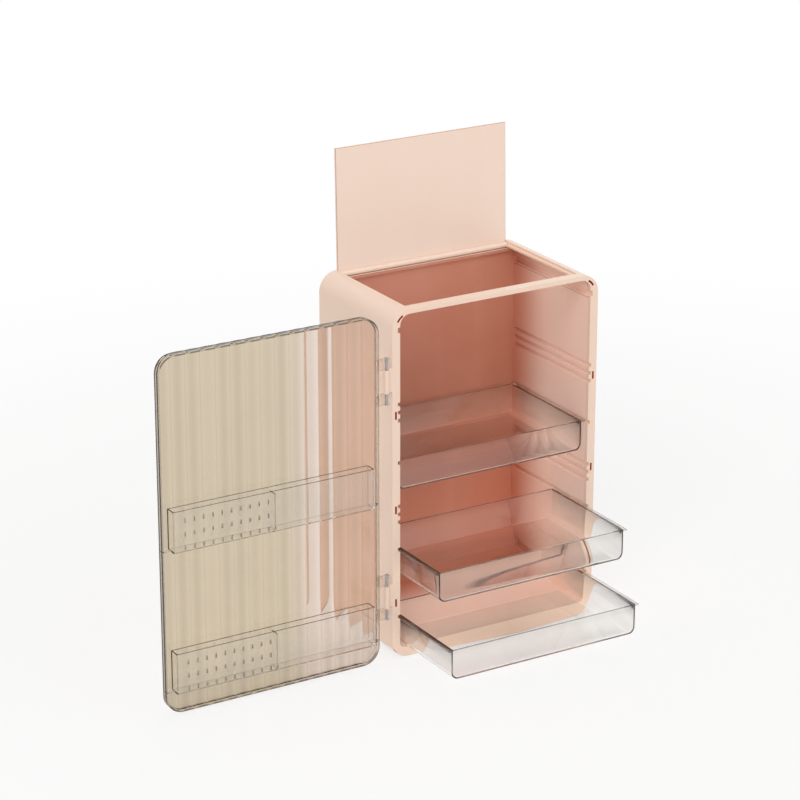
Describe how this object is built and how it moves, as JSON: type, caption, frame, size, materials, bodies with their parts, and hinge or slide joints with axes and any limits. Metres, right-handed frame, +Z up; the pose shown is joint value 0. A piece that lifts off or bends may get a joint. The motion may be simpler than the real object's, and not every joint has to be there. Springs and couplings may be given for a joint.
{
  "type": "makeup organizer",
  "caption": "Upright tabletop organizer with a fluted see-through swing door that carries slotted pockets, a flip-up dust lid and clear pull-out trays in side grooves.",
  "frame": {"origin": "centre of the base's underside, midway between the side walls and between the front frame's face and the back panel's outer face", "axes": "+X to the right as seen from the front, +Y from the front to the back, +Z up"},
  "size_m": [0.5502, 0.2703, 0.5504],
  "materials": {
    "shell": "satin moulded, pale pink",
    "inner_wall": "matt moulded, rose pink",
    "lid": "satin moulded, pale peach pink",
    "door": "polished, smoky see-through beige",
    "clear": "polished, water-clear",
    "steel": "plain wire and screws",
    "rubber": "matt"
  },
  "bodies": {
    "cabinet": {"left_side_panel": "shell", "right_side_panel": "shell", "left_runner_panel": "inner_wall", "right_runner_panel": "inner_wall", "back_panel": "shell", "floor_panel": "inner_wall", "base_cover": "shell", "top_front_rail": "shell", "top_rear_rail": "shell", "front_frame": "shell", "feet": "rubber", "back_screws": "steel", "base_screws": "steel"},
    "lid": {"lid": "lid", "lid_pins": "steel"},
    "hinge_pins": {"hinge_pins": "steel"},
    "door": {"door": "door", "upper_pocket": "clear", "lower_pocket": "clear", "upper_divider": "clear", "lower_divider": "clear"},
    "top_tray": {"top_tray": "clear"},
    "middle_tray": {"middle_tray": "clear"},
    "bottom_tray": {"bottom_tray": "clear"}
  },
  "joints": [
    {"name": "lid_hinge", "type": "hinge", "parent": "cabinet", "child": "lid", "pos_m": [0, 0.0754, 0.4056], "axis": [-1, 0, 0], "range_deg": [-91.5, 0]},
    {"name": "pin_turn", "type": "hinge", "parent": "cabinet", "child": "hinge_pins", "pos_m": [-0.14185, -0.081, 0.205], "axis": [0, 0, -1], "range_deg": [-90, 0]},
    {"name": "door_swing", "type": "hinge", "parent": "hinge_pins", "child": "door", "pos_m": [-0.14185, -0.081, 0.205], "axis": [0, 0, -1], "range_deg": [-90, 60]},
    {"name": "top_tray_slide", "type": "slide", "parent": "cabinet", "child": "top_tray", "axis": [0, -1, 0], "range_m": [0, 0.125]},
    {"name": "middle_tray_slide", "type": "slide", "parent": "cabinet", "child": "middle_tray", "axis": [0, -1, 0], "range_m": [-0.088, 0.037]},
    {"name": "bottom_tray_slide", "type": "slide", "parent": "cabinet", "child": "bottom_tray", "axis": [0, -1, 0], "range_m": [-0.115, 0.01]}
  ]
}
